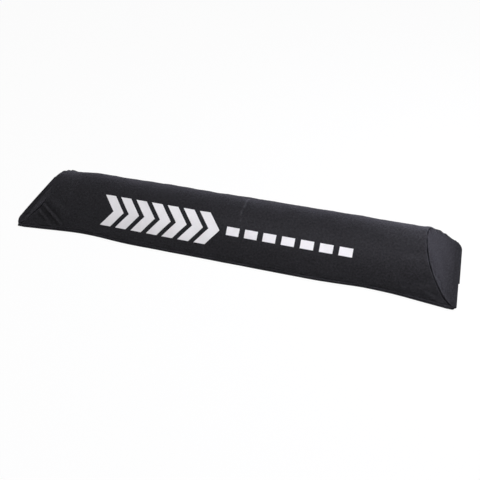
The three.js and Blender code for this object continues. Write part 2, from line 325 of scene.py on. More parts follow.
# Pulls in the cloth: X and girth of both ends, half-width and height of the ridge
PULLS = MM * np.array([
    (-314, 45, -275, 15, 2.6, 2.0),
    (-320, 33, -297, 14, 2.4, 1.5),
    (-306, 58, -262, 34, 6.0, 0.4),
    (-304, 14, -293, 9, 2.4, 0.7),
    (309, 16, 337, 6, 2.6, 0.6),
    (318, 27, 292, 20, 6.0, 0.5),
    (300, 62, 268, 58, 6.0, 0.4),
])
PULL_RIDGE = 1.6
PULL_TROUGH = 0.85  # a shallow trough lies on both sides of the ridge
PULL_TROUGH_WIDTH = 2.1

# Fine crease over the crown: stations and girths along it
CREASE = np.array([(24, 128), (25, 100), (22, 83), (22.5, 74), (24.5, 70)]) * MM
CREASE_HALF_WIDTH = 0.8 * MM
CREASE_HEIGHT = 0.4 * MM


def distance_to_segment(u, v, a, b):
    """Distance from u, v to the segment from a to b, and how far along it the nearest point is."""
    span = np.array(b) - np.array(a)
    along = ((u - a[0]) * span[0] + (v - a[1]) * span[1]) / max(span @ span, 1e-16)
    held = np.clip(along, 0, 1)
    off = np.hypot(u - a[0] - held * span[0], v - a[1] - held * span[1])
    return off, held


def seam_share(x):
    """How deep the end seam on this side is, and how dark its painted shade, against the right one."""
    return np.where(np.asarray(x) < 0, LEFT_SEAM_SHARE, 1)


def tapered(along, start):
    """Strength of a fold along its length, which fades towards both ends."""
    return np.sin(math.pi * (start + (1 - 2 * start) * along))


def pull_relief(x, girth):
    total = 0
    for x0, girth0, x1, girth1, half_width, height in PULLS:
        off, along = distance_to_segment(x, girth, (x0, girth0), (x1, girth1))
        ridge = PULL_RIDGE * bell(off, half_width)
        trough = PULL_TROUGH * bell(off, PULL_TROUGH_WIDTH * half_width)
        total += height * tapered(along, 0.08) ** 0.7 * (ridge - trough)
    return total


def distance_to_line(u, v, line):
    """Distance from u, v to a polyline."""
    return np.min([distance_to_segment(u, v, a, b)[0] for a, b in zip(line[:-1], line[1:])], axis=0)


def seam_distance(x, angle):
    """Distance over the cloth from a point of the main cover to the nearer end seam."""
    end = np.sign(x)
    z = seam_height(angle, end)
    step = 0.1 * MM
    lean = (end_x(z + step, end) - end_x(z, end)) / step * np.interp(angle, table_angle, table_slope)
    return np.maximum(0, end_x(z, end) - SEAM_CLEAR - np.abs(x)) / np.hypot(1, lean)


def hem_distance(girth):
    """Distance over the cloth to the nearer long hem of the main cover."""
    return np.minimum(girth - FOOT_GIRTH, FULL_GIRTH - FOOT_GIRTH - girth)


def cover_relief(x, angle):
    """How far the main cover stands out of the pad's plain surface."""
    girth = girth_at(angle)
    hem = hem_distance(girth)
    seam = seam_distance(x, angle)
    relief = sum(depth * field.at(x / long, girth / wide) for field, depth, long, wide in COVER_WAVES)
    relief += CROWN_LIFT * np.sin(angle) ** 2
    pucker = hem_field.at(x / HEM_PUCKER_LENGTH, PUCKER_STRETCH * girth / HEM_PUCKER_LENGTH)
    relief += HEM_PUCKER_DEPTH * pucker * np.exp(-hem / HEM_PUCKER_REACH)
    pucker = seam_field.at(girth / SEAM_PUCKER_LENGTH, PUCKER_STRETCH * x / SEAM_PUCKER_LENGTH)
    relief += SEAM_PUCKER_DEPTH * pucker * np.exp(-seam / SEAM_PUCKER_REACH)
    relief += SEAM_SWELL * bell(seam - SEAM_SWELL_AT, SEAM_SWELL_AT)
    relief += pull_relief(x, girth)
    relief += CREASE_HEIGHT * bell(distance_to_line(x, girth, CREASE), CREASE_HALF_WIDTH)
    relief += HEM_BAND_STEP / (1 + np.exp((hem - HEM_BAND_GIRTH) / HEM_BAND_SOFTNESS))
    roll = seam_share(x) * SEAM_ROLL_DEPTH * bell(seam, SEAM_ROLL_REACH)
    return relief * (1 - bell(hem, HEM_HELD_REACH)) - roll


# a dark line along each end seam: its dark thread, and painted shade of the recessed groove
SEAM_GROOVE_SHADE = 0.75
SEAM_LINE_REACH = 0.8 * MM
# the pulls' ridges are lighter with wear, and their troughs darker with painted shade
RIDGE_WEAR_AND_TROUGH_SHADE = 0.5
CREASE_WEAR = 0.9
# painted bounce light from the floor: the hem band is lighter, in patches
HEM_BAND_PAINTED_LIGHT = 0.1
HEM_BAND_LIGHT_PATCH = 14 * MM
PAINTED_SHEEN = 0.34  # painted sheen: the cloth is lighter on the upper front flank and towards the right end, as if lit from the upper right
PAINTED_SHEEN_GIRTH = 62 * MM
PAINTED_SHEEN_GIRTH_REACH = 19 * MM
PAINTED_SHEEN_RUN = 130 * MM  # length over which the painted sheen grows
PAINTED_SHEEN_FLANK_FROM = -90 * MM
PAINTED_SHEEN_RIGHT_FROM = 170 * MM
PAINTED_SHEEN_LOW = 30 * MM  # girth over the hem that stays plain at the right, and over which the painted sheen then grows


def cover_wear_and_painted_light(x, angle):
    """How much lighter or darker than the plain cloth the main cover is at a point: wear on the pulls'
    ridges and the crease, painted shade in the pulls' troughs and along the end seams, painted light along
    the hem band, and painted sheen on the upper front flank and towards the right end.
    """
    girth = girth_at(angle)
    hem = hem_distance(girth)
    # wear on the pulls' ridges, painted shade in their troughs
    wear_and_painted_light = RIDGE_WEAR_AND_TROUGH_SHADE * np.clip(pull_relief(x, girth) / MM, -0.9, 1.2)
    wear_and_painted_light += CREASE_WEAR * bell(distance_to_line(x, girth, CREASE), CREASE_HALF_WIDTH)
    # painted bounce light along the hem band, in patches
    patches = 0.7 + 0.5 * hem_field.at(x / HEM_BAND_LIGHT_PATCH, hem / HEM_BAND_LIGHT_PATCH)
    wear_and_painted_light += HEM_BAND_PAINTED_LIGHT * patches * bell(hem, HEM_BAND_GIRTH)
    # painted sheen on the upper front flank and towards the right end
    flank = bell(girth - PAINTED_SHEEN_GIRTH, PAINTED_SHEEN_GIRTH_REACH) * eased((x - PAINTED_SHEEN_FLANK_FROM) / PAINTED_SHEEN_RUN)
    right = eased((hem - PAINTED_SHEEN_LOW) / PAINTED_SHEEN_LOW) * eased((x - PAINTED_SHEEN_RIGHT_FROM) / PAINTED_SHEEN_RUN)
    wear_and_painted_light += PAINTED_SHEEN * np.maximum(flank, right)
    # painted shade along the end seams
    return wear_and_painted_light - seam_share(x) * SEAM_GROOVE_SHADE * bell(seam_distance(x, angle), SEAM_LINE_REACH)


def cover_points(x, angle, lift=0.0):
    """Points of the finished main cover, or above it by lift."""
    x, angle = np.broadcast_arrays(np.asarray(x, float), np.asarray(angle, float))
    step_x, step_angle = 0.2 * MM, 1e-3
    across = pad_points(x + step_x, angle) - pad_points(x - step_x, angle)
    around = pad_points(x, angle + step_angle) - pad_points(x, angle - step_angle)
    height = cover_relief(x, angle) + lift
    return pad_points(x, angle) + unit(np.cross(across, around)) * height[..., None]


def grid_normals(points):
    """Unit normals of a grid of points, U x V."""
    normal = np.cross(np.gradient(points, axis=0), np.gradient(points, axis=1))
    length = np.linalg.norm(normal, axis=-1, keepdims=True)
    flat = length[..., 0] < 1e-12
    normal = normal / np.maximum(length, 1e-12)
    for j in range(1, points.shape[1]):
        normal[flat[:, j], j] = normal[flat[:, j], j - 1]
    return normal


def grid_faces(columns, rows, start=0, turned=False):
    """Quads of a grid whose points are numbered row by row within each column."""
    i, j = np.meshgrid(np.arange(columns), np.arange(rows), indexing="ij")
    a = start + i * (rows + 1) + j
    b, c, d = a + rows + 1, a + rows + 2, a + 1
    quad = (a, d, c, b) if turned else (a, b, c, d)
    return np.stack(quad, axis=-1).reshape(-1, 4)


def rim_faces(columns, rows, start):
    """Quads that join two equal grids, the second numbered from start, round their edges."""
    i, j = np.arange(columns), np.arange(rows)
    number = lambda column, row: column * (rows + 1) + row
    quads = []
    for a, b in (
        (number(i + 1, 0), number(i, 0)),
        (number(i, rows), number(i + 1, rows)),
        (number(0, j), number(0, j + 1)),
        (number(columns, j + 1), number(columns, j)),
    ):
        quads.append(np.stack([a, b, b + start, a + start], axis=-1))
    return np.concatenate(quads)


def add_object(name, data):
    """A new object in the scene."""
    added = bpy.data.objects.new(name, data)
    bpy.context.scene.collection.objects.link(added)
    return added


def place_piece(name, mesh, material):
    """A smooth piece that rides on the pad."""
    mesh.shade_smooth()
    mesh.materials.append(material)
    piece = add_object(name, mesh)
    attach(piece, "root")
    return piece


SHARP_EDGE = math.radians(50)


def make_piece(name, points, faces, material, replaces, cloth=None, wear_and_painted_light=None):
    """A piece whose equal points are joined, smooth but for its sharp edges."""
    mesh = bpy.data.meshes.new(name)
    placed = points.reshape(-1, 3) + (0, AXIS_Y, 0)
    mesh.from_pydata(placed.tolist(), [], [tuple(f) for f in faces.tolist()])
    # The second layer holds real wear together with painted light and shade.
    layers = (("cloth", "FLOAT_VECTOR", "vector", cloth), ("wear_and_painted_light", "FLOAT", "value", wear_and_painted_light))
    for layer_name, kind, field, values in layers:
        if values is not None:
            layer = mesh.attributes.new(layer_name, kind, "POINT")
            layer.data.foreach_set(field, values.astype(np.float32).ravel())
    body = bmesh.new()
    body.from_mesh(mesh)
    bmesh.ops.remove_doubles(body, verts=body.verts, dist=1e-6)
    bmesh.ops.dissolve_degenerate(body, edges=body.edges, dist=1e-7)
    body.to_mesh(mesh)
    body.free()
    piece = place_piece(name, mesh, material)
    mesh.set_sharp_from_angle(angle=SHARP_EDGE)
    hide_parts(*replaces)
    return piece


def make_shell(name, outer, inner, cloth_uv, material, replaces, wear_and_painted_light=None):
    """A closed sheet between two equal grids of points. cloth_uv places them on the flat cloth."""
    columns, rows = outer.shape[0] - 1, outer.shape[1] - 1
    count = (columns + 1) * (rows + 1)
    points = np.concatenate([outer.reshape(-1, 3), inner.reshape(-1, 3)])
    faces = np.concatenate([
        grid_faces(columns, rows),
        grid_faces(columns, rows, start=count, turned=True),
        rim_faces(columns, rows, count),
    ])
    flat = cloth_uv.reshape(-1, 2)
    cloth = np.concatenate([np.insert(flat, 2, side, axis=1) for side in (0, 0.5)])
    if wear_and_painted_light is not None:
        wear_and_painted_light = np.concatenate([wear_and_painted_light.ravel(), np.zeros(count)])
    return make_piece(name, points, faces, material, replaces, cloth, wear_and_painted_light)


def eased_shares(count, ease):
    """Shares from -1 to 1, closer together towards both ends as ease grows from 0 to 1."""
    plain = np.linspace(-1, 1, count + 1)
    return (1 - ease) * plain + ease * np.sin(plain * math.pi / 2)


class Nodes:
    """Short hand for building the node tree of a material or of the world."""

    def __init__(self, owner):
        owner.use_nodes = True
        self.owner = owner
        self.tree = owner.node_tree

    def add(self, kind, **values):
        node = self.tree.nodes.new(kind)
        for key, value in values.items():
            setattr(node, key, value)
        return node

    def feed(self, socket, value):
        """Links another node's output to a socket, or sets the socket to a plain value."""
        if isinstance(value, bpy.types.NodeSocket):
            self.tree.links.new(value, socket)
        else:
            socket.default_value = value

    def shade(self, name, value):
        self.feed(self.tree.nodes["Principled BSDF"].inputs[name], value)

    def math(self, operation, a, b=None, c=None, clamp=False):
        node = self.add("ShaderNodeMath", operation=operation, use_clamp=clamp)
        for socket, value in zip(node.inputs, (a, b, c)):
            if value is not None:
                self.feed(socket, value)
        return node.outputs[0]

    def times(self, a, b):
        return self.math("MULTIPLY", a, b)

    def times_plus(self, a, b, c):
        return self.math("MULTIPLY_ADD", a, b, c)

    def minus(self, a, b, clamp=False):
        return self.math("SUBTRACT", a, b, clamp=clamp)

    def noise(self, vector, wavelength, detail=2.0, roughness=0.5):
        node = self.add("ShaderNodeTexNoise")
        self.feed(node.inputs["Scale"], 1 / wavelength)
        self.feed(node.inputs["Detail"], detail)
        self.feed(node.inputs["Roughness"], roughness)
        self.feed(node.inputs["Vector"], vector)
        return node.outputs["Fac"]

    def cells(self, vector, wavelength):
        node = self.add("ShaderNodeTexVoronoi")
        self.feed(node.inputs["Scale"], 1 / wavelength)
        self.feed(node.inputs["Vector"], vector)
        return node.outputs["Distance"]

    def place(self):
        """Place on the piece, in metres."""
        return self.add("ShaderNodeTexCoord").outputs["Object"]

    def mix(self, share, low, high):
        node = self.add("ShaderNodeMix", data_type="RGBA")
        self.feed(node.inputs["Factor"], share)
        node.inputs[6].default_value = (*low, 1)
        node.inputs[7].default_value = (*high, 1)
        return node.outputs[2]

    def bump(self, height, distance, strength=1.0):
        """Shades the surface as if it stood out by a height."""
        node = self.add("ShaderNodeBump")
        self.feed(node.inputs["Distance"], distance)
        self.feed(node.inputs["Strength"], strength)
        self.feed(node.inputs["Height"], height)
        self.shade("Normal", node.outputs["Normal"])

    def plain_rays(self):
        """1 for camera, glossy and transmission rays, which see the studio white, and 0 for the rest."""
        path = self.add("ShaderNodeLightPath")
        plain = self.math("MAXIMUM", path.outputs["Is Camera Ray"], path.outputs["Is Glossy Ray"])
        return self.math("MAXIMUM", plain, path.outputs["Is Transmission Ray"])


WEAVE_THREAD = 0.7 * MM
WEAVE_WANDER = 0.9  # radians by which the threads stray from straight
CLOUD_LENGTH = 38 * MM
MOTTLE_LENGTH = 3.0 * MM
MOTTLE_CONTRAST = 1.7
CLOTH_BUMP = 0.16 * MM
CLOTH_SPECULAR = 0.012
CLOTH_SHEEN_ROUGHNESS = 0.65
CLOTH_SHEEN_TINT = (0.88, 0.86, 1.0)


def cloth_coordinates(nodes):
    """U and V over the flat cloth, in metres, and the whole vector."""
    attribute = nodes.add("ShaderNodeAttribute", attribute_name="cloth")
    split = nodes.add("ShaderNodeSeparateXYZ")
    nodes.feed(split.inputs[0], attribute.outputs["Vector"])
    return split.outputs["X"], split.outputs["Y"], attribute.outputs["Vector"]


def weave_height(nodes, u, v, vector):
    """Plain weave: warp and weft threads that pass over each other in turn, 0 to 1."""
    stray = nodes.noise(vector, 9 * WEAVE_THREAD)
    wander = nodes.times(nodes.minus(stray, 0.5), WEAVE_WANDER)
    turn = math.pi / WEAVE_THREAD
    warp = nodes.math("SINE", nodes.times_plus(u, turn, wander))
    weft = nodes.math("SINE", nodes.times_plus(v, turn, wander))
    over = nodes.math("GREATER_THAN", nodes.times(warp, weft), 0.0)
    warp_round = nodes.minus(1.0, nodes.math("ABSOLUTE", warp))
    weft_round = nodes.minus(1.0, nodes.math("ABSOLUTE", weft))
    under = nodes.times(nodes.minus(1.0, over), weft_round)
    return nodes.minus(1.0, nodes.times_plus(over, warp_round, under))


def cloth_material(name, dark, light, sheen):
    """Woven polyester: weave, mottled dye, worn folds with painted light and shade, and a soft sheen."""
    nodes = Nodes(bpy.data.materials.new(name))
    u, v, vector = cloth_coordinates(nodes)
    weave = weave_height(nodes, u, v, vector)
    cloudy = nodes.noise(vector, CLOUD_LENGTH, detail=3.0)
    mottle = nodes.noise(vector, MOTTLE_LENGTH, detail=2.0, roughness=0.6)
    spread = nodes.times_plus(nodes.minus(mottle, 0.5), MOTTLE_CONTRAST, 0.5)
    share = nodes.times_plus(weave, 0.3, nodes.times(spread, 0.55))
    share = nodes.minus(nodes.times_plus(cloudy, 0.25, share), 0.12, clamp=True)
    # The pieces' wear, with their painted light and shade, scales the colour, specular and sheen.
    tone_shift = nodes.add("ShaderNodeAttribute", attribute_name="wear_and_painted_light").outputs["Fac"]
    level = nodes.math("ADD", tone_shift, 1.0)
    colour = nodes.add("ShaderNodeVectorMath", operation="SCALE")
    nodes.feed(colour.inputs[0], nodes.mix(share, dark, light))
    nodes.feed(colour.inputs["Scale"], level)
    nodes.shade("Base Color", colour.outputs[0])
    nodes.bump(nodes.times_plus(mottle, 1.3, nodes.times(weave, 0.8)), CLOTH_BUMP)
    nodes.shade("Roughness", nodes.times_plus(mottle, 0.16, 0.7))
    nodes.shade("Specular IOR Level", nodes.times(level, CLOTH_SPECULAR))
    fuzz = nodes.times_plus(spread, 0.9, 0.55)
    nodes.shade("Sheen Weight", nodes.times(nodes.times(level, fuzz), sheen))
    nodes.shade("Sheen Roughness", CLOTH_SHEEN_ROUGHNESS)
    nodes.shade("Sheen Tint", (*CLOTH_SHEEN_TINT, 1))
    return nodes.owner


def print_material(name, low, high):
    """Ink on the weave: matt and a little uneven."""
    nodes = Nodes(bpy.data.materials.new(name))
    u, v, vector = cloth_coordinates(nodes)
    weave = weave_height(nodes, u, v, vector)
    fine = nodes.noise(vector, 1.6 * MM, detail=3.0, roughness=0.7)
    tone_shift = nodes.noise(vector, 22 * MM)
    share = nodes.times_plus(fine, 0.6, nodes.times(tone_shift, 0.4))
    share = nodes.minus(nodes.times_plus(weave, 0.25, share), 0.1, clamp=True)
    nodes.shade("Base Color", nodes.mix(share, low, high))
    nodes.bump(weave, 0.08 * MM, 0.6)
    nodes.shade("Roughness", nodes.times_plus(fine, 0.2, 0.6))
    nodes.shade("Specular IOR Level", 0.3)
    return nodes.owner


def thread_material(name, colour):
    """Twisted thread, darker and lighter than its colour by turns."""
    nodes = Nodes(bpy.data.materials.new(name))
    twist = nodes.noise(nodes.place(), 0.5 * MM)
    low = tuple(0.75 * c for c in colour)
    high = tuple(1.3 * c for c in colour)
    nodes.shade("Base Color", nodes.mix(twist, low, high))
    nodes.bump(twist, 0.1 * MM, 0.5)
    nodes.shade("Roughness", 0.6)
    nodes.shade("Specular IOR Level", 0.08)
    return nodes.owner


def tape_material(name, wavelength, dark, light):
    """Hook or loop tape: a dense pile."""
    nodes = Nodes(bpy.data.materials.new(name))
    place = nodes.place()
    fuzz = nodes.noise(place, 0.6 * wavelength, detail=4.0, roughness=0.7)
    pile = nodes.times_plus(nodes.cells(place, wavelength), 0.7, fuzz)
    nodes.shade("Base Color", nodes.mix(pile, dark, light))
    nodes.bump(pile, 0.4 * MM)
    nodes.shade("Roughness", 0.8)
    return nodes.owner


def foam_material(name, dark, light):
    """Closed-cell foam with a cut skin."""
    nodes = Nodes(bpy.data.materials.new(name))
    place = nodes.place()
    cells = nodes.cells(place, 1.4 * MM)
    share = nodes.times_plus(cells, 0.6, nodes.times(nodes.noise(place, 30 * MM), 0.4))
    nodes.shade("Base Color", nodes.mix(share, dark, light))
    nodes.bump(cells, 0.3 * MM, 0.6)
    nodes.shade("Roughness", 0.85)
    return nodes.owner


cover_cloth = cloth_material("cover_cloth", (0.0056, 0.0056, 0.0055), (0.0188, 0.0187, 0.0186), 0.11)
flap_cloth = cloth_material("flap_cloth", (0.0053, 0.0053, 0.0052), (0.0165, 0.0164, 0.0163), 0.09)
white_print = print_material("white_print", (0.70, 0.69, 0.675), (0.89, 0.88, 0.865))
black_thread = thread_material("black_thread", (0.008, 0.008, 0.009))
hook_pile = tape_material("hook_pile", 1.3 * MM, (0.004, 0.004, 0.004), (0.02, 0.02, 0.021))
loop_pile = tape_material("loop_pile", 0.9 * MM, (0.006, 0.006, 0.006), (0.028, 0.028, 0.03))
grey_foam = foam_material("grey_foam", (0.02, 0.02, 0.021), (0.06, 0.06, 0.063))

EDGE_EASE = 0.85  # how closely the columns of a short span gather at its two edges

MAIN_COLUMNS = 320
MAIN_ROWS = 128
MAIN_EASE = 0.7
RIM_OFFSETS = np.array([0, 0.25, 0.5, 0.8, 1.1, 1.5, 2.0, 2.7]) * MM  # from the rim inwards, along X
RIM_STEP = 0.8 * MM  # from the last of these to the evenly eased columns


def make_main_cover():
    start = foot_angle()
    angle = np.linspace(start, math.pi - start, MAIN_ROWS + 1)[None, :]
    left = SEAM_CLEAR - end_x(seam_height(angle, LEFT), LEFT)
    right = end_x(seam_height(angle, RIGHT), RIGHT) - SEAM_CLEAR
    clear = RIM_OFFSETS[-1] + RIM_STEP
    share = (eased_shares(MAIN_COLUMNS, MAIN_EASE)[:, None] + 1) / 2
    middle = (left + clear) * (1 - share) + (right - clear) * share
    x = np.concatenate([left + RIM_OFFSETS[:, None], middle, right - RIM_OFFSETS[::-1, None]])
    angle = np.broadcast_to(angle, x.shape)
    outer = cover_points(x, angle)
    inner = outer - grid_normals(outer) * COVER_CLOTH
    cloth, wear_and_painted_light = joined(x, girth_at(angle)), cover_wear_and_painted_light(x, angle)
    piece = make_shell("main_cover", outer, inner, cloth, cover_cloth, ["main_panel"], wear_and_painted_light)
    return piece


# End covers
END_ROWS = 90
END_COLUMNS = 110
LIP_ROWS = 8
LIP_MARGIN = 0.9 * MM  # base cloth that shows beyond the end cover's hem
PUFF = {LEFT: 5.8 * MM, RIGHT: 2.3 * MM}  # the left end is loose and bulges, the right end is drawn flat
PUFF_EDGE = 20 * MM
FOOT_FILL = 1.2 * MM  # eases the slope into the hem
FOOT_FILL_REACH = 5 * MM
END_SLACK_DEPTH = 0.35 * MM
END_SLACK_LENGTH = 55 * MM
END_GROOVE_DEPTH = 2.0 * MM
END_GROOVE_REACH = 0.7 * MM
END_BEAD_HEIGHT = 0.35 * MM
END_BEAD_AT = 2.6 * MM
END_BEAD_REACH = 1.2 * MM
END_SEAM_PUCKER = 0.3 * MM
END_PUCKER_LENGTH = 11 * MM
END_PUCKER_REACH = 8 * MM
END_HEM_LIFT = 0.5 * MM  # of the slope's foot over the main cover's foot
END_HEM_LIFT_REACH = 2 * MM
END_SHADE = {LEFT: -0.3, RIGHT: -0.15}  # painted shade that darkens the end cloths against the main cloth, the left one most
HEM_STITCH_INSET = 2.6 * MM
HEM_STITCH_DEPTH = 0.25 * MM
HEM_GROOVE_REACH = 0.7 * MM

# Folds in the end cloths: Y and run up from the hem of both ends, half-width and height
END_FOLDS = {
    LEFT: MM * np.array([
        (-58, 6, -38, 22, 1.6, -1.4),
        (-30, 8, 4, 20, 4.0, 0.6),
    ]),
    RIGHT: MM * np.array([
        (-72, 7.5, -52, 8.5, 1.3, 0.7),
        (-50, 42, -41, 37, 2.2, -0.8),
        (-66, 16, -58, 15, 2.0, -0.8),
    ]),
}


def make_end_cover(name, end, seed_shift, node):
    """D-shaped cloth on a slanted end: a hem that lies on the base cloth, then the slope to the crown."""
    angle = np.linspace(foot_angle(), math.pi / 2, END_ROWS + 1)
    slope_z = seam_height(angle, end)
    slope_x = end_x(slope_z, end)
    slope_front = pad_points(end * slope_x, angle)[:, 1]
    back_z = seam_height(math.pi - angle, end)
    back_y = pad_points(end * end_x(back_z, end), math.pi - angle)[:, 1]
    slope_back = np.interp(slope_z, back_z, back_y)
    lip = np.linspace(0, 1, LIP_ROWS + 1)[:-1]
    lip_from = float(hem_reach(end)) - LIP_MARGIN
    lip_x = lip_from + (slope_x[0] - lip_from) * lip
    low = BASE_TOP + COVER_CLOTH + 0.05 * MM
    lip_z = low + (FOOT_Z + END_HEM_LIFT - low) * lip
    slope_z = slope_z + END_HEM_LIFT * np.exp(-(slope_z - FOOT_Z) / END_HEM_LIFT_REACH)
    x = np.concatenate([lip_x, slope_x])
    z = np.concatenate([lip_z, slope_z])
    front = np.concatenate([LIP_MARGIN - base_distance(end * lip_x, FRONT), slope_front])
    back = np.concatenate([base_distance(end * lip_x, BACK) - LIP_MARGIN, slope_back])
    run = run_along(joined(x, z))[None, :]
    across = (eased_shares(END_COLUMNS, EDGE_EASE)[:, None] + 1) / 2
    y = front + (back - front) * across
    plain = joined(x, y, z)
    plain[..., 2] += FOOT_FILL * np.sin(math.pi * across) ** 0.4 * bell(x - slope_x[0], FOOT_FILL_REACH)
    seam_line = np.concatenate([joined(front, run[0]), joined(back, run[0])[::-1]])
    edge = distance_to_line(y, run, seam_line)
    seam = np.where(run < run[0, LIP_ROWS], 1.0, edge)
    rise = np.clip((z - FOOT_Z) / (z[-1] - FOOT_Z), 0, 1)[None, :]
    relief = end_relief(end, seed_shift, y, run, rise, edge, seam)
    outer = plain + grid_normals(plain) * relief[..., None]
    outer[..., 2] = np.maximum(outer[..., 2], BASE_TOP + COVER_CLOTH)
    inner = outer - grid_normals(outer) * COVER_CLOTH
    cloth = joined(y, run)
    # painted shade: the whole end cloth is darker, and darker again along its seam
    wear_and_painted_light = END_SHADE[end] - seam_share(end) * SEAM_GROOVE_SHADE * bell(seam, SEAM_LINE_REACH)
    if end < 0:
        outer, inner, cloth, wear_and_painted_light = (part[::-1].copy() for part in (outer, inner, cloth, wear_and_painted_light))
        outer[..., 0] *= -1
        inner[..., 0] *= -1
    piece = make_shell(name, outer, inner, cloth, cover_cloth, [node], wear_and_painted_light)
    return piece


def end_relief(end, seed_shift, y, run, rise, edge, seam):
    """How far an end cloth stands out of its plain surface."""
    above_foot = np.minimum(1, rise * 8)
    swell = np.sin(math.pi * (0.13 + 0.75 * rise)) ** 0.9 * np.minimum(1, rise * 22)
    relief = PUFF[end] * (1 - np.exp(-edge / PUFF_EDGE)) * swell
    shift = seed_shift * END_SLACK_LENGTH
    slack = end_field.at((y + shift) / END_SLACK_LENGTH, run / END_SLACK_LENGTH)
    relief += END_SLACK_DEPTH * slack * above_foot
    pucker = end_seam_field.at((y + shift) / END_PUCKER_LENGTH, run / END_PUCKER_LENGTH)
    relief += END_SEAM_PUCKER * pucker * np.exp(-edge / END_PUCKER_REACH) * above_foot
    for y0, run0, y1, run1, half_width, height in END_FOLDS[end]:
        off, along = distance_to_segment(y, run, (y0, run0), (y1, run1))
        relief += height * tapered(along, 0.1) * bell(off, half_width)
    relief += END_BEAD_HEIGHT * bell(edge - END_BEAD_AT, END_BEAD_REACH) * above_foot
    return relief - seam_share(end) * END_GROOVE_DEPTH * bell(seam, END_GROOVE_REACH) * above_foot


BASE_COLUMNS = 280
BASE_ROWS = 70
BASE_WAVE_DEPTH = 0.4 * MM
BASE_WAVE_LENGTH = 45 * MM
BASE_WAVE_ROW = 0.3  # row of the random field that the base cloth's edges follow


def rounded_edge(distance, half_thickness):
    """How far a hemmed sheet's faces close in at a distance from its edge."""
    return half_thickness * quarter_round(1 - distance / half_thickness)


def hem_groove(distance, at, depth):
    """How far a hem's stitches pull a face in."""
    return depth * bell(distance - at, HEM_GROOVE_REACH)


def make_base_cloth():
    """The flat cloth under the foam, whose hem shows all round the cover's foot."""
    share = eased_shares(BASE_COLUMNS, EDGE_EASE)[:, None]
    x = share * hem_reach(share)
    wave = BASE_WAVE_DEPTH * hem_field.at(x / BASE_WAVE_LENGTH, BASE_WAVE_ROW)
    front = -(base_distance(x, FRONT) + wave)
    back = base_distance(x, BACK) + wave
    y = front + (back - front) * (eased_shares(BASE_ROWS, EDGE_EASE)[None, :] + 1) / 2
    edge = np.minimum(np.minimum(y - front, back - y), hem_reach(x) - np.abs(x))
    half_thickness = (BASE_TOP - BASE_BOTTOM) / 2
    thin = rounded_edge(edge, half_thickness) + hem_groove(edge, HEM_STITCH_INSET, HEM_STITCH_DEPTH)
    outer = joined(x, y, BASE_TOP - thin)
    inner = joined(x, y, BASE_BOTTOM + thin)
    piece = make_shell("base_cloth", outer, inner, joined(x, y), cover_cloth, ["base_panel"])
    return piece


FRONT_FLAP_ENDS = (LEFT_HEM - FRONT_FLAP_INSET, RIGHT_HEM - 0.3 * FRONT_FLAP_INSET)
FRONT_FLAP_CORNER = (9 * MM, 14 * MM)  # rounding at the fold's two ends, along X and across
BACK_FLAP_CORNER = (12 * MM, 19 * MM)
FLAP_COLUMNS = 220
FLAP_EASE = 0.6
FLAP_STEP = 1.6 * MM
FOLD_STEPS = 8
FLAP_WAVE_DEPTH = 0.22 * MM
FLAP_WAVE_LENGTH = 60 * MM
FLAP_STITCH_INSET = 7 * MM
FLAP_STITCH_DEPTH = 0.15 * MM
FLAP_THINNED = 0.42 * MM  # the most by which each face closes in


def resample(profile, count):
    """A polyline with count equal steps."""
    run = run_along(profile)
    place = np.linspace(0, run[-1], count + 1)
    return np.stack([np.interp(place, run, profile[:, k]) for k in (0, 1)], axis=-1), place


def fold_arc(radius):
    """Y and Z round a flap's fold, from its flat part to its upright part, with the fold at y = 0."""
    turn = np.linspace(0, math.pi / 2, FOLD_STEPS + 1)
    return FLAP_FOLD_RADIUS - radius * joined(np.sin(turn), np.cos(turn))


def fold_distance(x, side):
    return float(foot_distance(min(abs(x), FOOT_HALF_LENGTH), side)) + HEM_LIP - FLAP_SETBACK


def front_flap_profile(x):
    """Y and Z of the middle of the front flap's cloth, from its free edge to the hem."""
    depth = FLAP_CLOTH / 2
    fold = -fold_distance(x, FRONT)
    ramp_top = BACK_FLAP_FREE_Y - 2 * MM
    arc = fold_arc(FLAP_FOLD_RADIUS - depth) + (fold, 0)
    flat = [
        (FRONT_FLAP_FREE_Y, FRONT_FLAP_LIFT + depth),
        (ramp_top, FRONT_FLAP_LIFT + depth),
        (ramp_top - 0.25 * FLAP_RAMP, 0.9 * FRONT_FLAP_LIFT + depth),
        (ramp_top - 0.75 * FLAP_RAMP, 0.1 * FRONT_FLAP_LIFT + depth),
        (ramp_top - FLAP_RAMP, depth),
    ]
    return np.concatenate([flat, arc, [(fold + depth, BASE_BOTTOM - GAP)]])


def back_flap_profile(x):
    """Y and Z of the middle of the back flap's cloth, from the hem to its free edge."""
    depth = FLAP_CLOTH / 2
    fold = fold_distance(x, BACK)
    arc = fold_arc(FLAP_FOLD_RADIUS - depth)[::-1] * (-1, 1) + (fold, 0)
    return np.concatenate([[(fold - depth, BASE_BOTTOM - GAP)], arc, [(BACK_FLAP_FREE_Y, depth)]])


